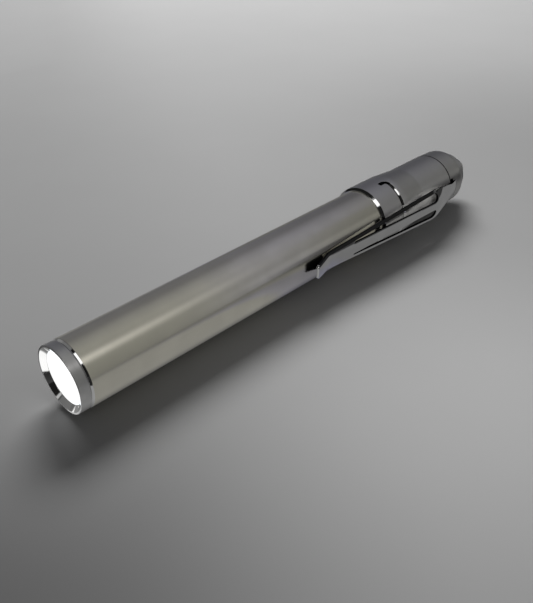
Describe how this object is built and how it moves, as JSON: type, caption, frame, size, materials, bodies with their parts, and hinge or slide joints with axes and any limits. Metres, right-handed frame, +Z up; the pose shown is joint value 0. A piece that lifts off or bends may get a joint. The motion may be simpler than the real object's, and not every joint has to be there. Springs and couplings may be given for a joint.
{
  "type": "penlight",
  "caption": "Slim metal penlight: satin barrel, lens behind a polished bevel, screw-on tail cap, slotted pocket clip and domed push button.",
  "frame": {"origin": "under the middle of the bounding box, on the surface that the tail cap's collar lies on", "axes": "+X along the barrel's axis towards the push button, so the lens looks along -X; the clip stands out along -Y; +Z up"},
  "size_m": [0.1308, 0.0178, 0.016],
  "materials": {
    "bezel_steel": "satin",
    "barrel_steel": "satin",
    "tail_steel": "satin",
    "clip_steel": "polished",
    "button_chrome": "polished",
    "lens_glass": "polished",
    "reflector_metal": "polished",
    "led_phosphor": "gloss",
    "holder_aluminium": "satin",
    "board_laminate": "satin",
    "contact_brass": "satin",
    "spring_steel": "satin",
    "cell_can": "satin",
    "black_plastic": "matte",
    "white_plastic": "matte",
    "seal_rubber": "matte"
  },
  "bodies": {
    "barrel": {"bezel": "bezel_steel", "lens": "lens_glass", "lens_gasket": "seal_rubber", "reflector": "reflector_metal", "led_emitter": "led_phosphor", "led_board": "holder_aluminium", "led_holder": "holder_aluminium", "driver_board": "board_laminate", "contact_post": "contact_brass", "contact_guard": "black_plastic", "barrel": "barrel_steel", "cell_liner": "black_plastic", "front_cell": "cell_can", "rear_cell": "cell_can"},
    "seal": {"tail_seal": "seal_rubber"},
    "tail": {"tail_cap": "tail_steel", "retaining_ring": "contact_brass", "battery_spring": "spring_steel", "switch_board": "board_laminate", "switch_housing": "black_plastic", "switch_pins": "contact_brass", "switch_spring": "spring_steel", "switch_cover": "black_plastic", "end_cap": "tail_steel", "button_seal": "seal_rubber"},
    "button": {"button": "button_chrome", "switch_plunger": "white_plastic", "switch_rotor": "white_plastic", "switch_contact": "contact_brass"},
    "clip": {"pocket_clip": "clip_steel"}
  },
  "joints": [
    {"name": "cap_travel", "type": "slide", "parent": "barrel", "child": "seal", "axis": [1, 0, 0], "range_m": [0, 0.007]},
    {"name": "cap_turn", "type": "hinge", "parent": "seal", "child": "tail", "pos_m": [0.03465, 0.00091, 0.008], "axis": [1, 0, 0], "range_deg": [0, 2535]},
    {"name": "button_press", "type": "slide", "parent": "tail", "child": "button", "axis": [-1, 0, 0], "range_m": [0, 0.0016], "stiffness_N_per_m": 700, "deforming": ["switch_spring"]},
    {"name": "clip_flex", "type": "hinge", "parent": "tail", "child": "clip", "pos_m": [0.05165, -0.00619, 0.008], "axis": [0, 0, 1], "range_deg": [0, 3], "stiffness_Nm_per_rad": 1.5}
  ],
  "couplings": [
    {"joint": "cap_turn", "follows": "cap_travel", "rad_per_m": 6283.2}
  ]
}
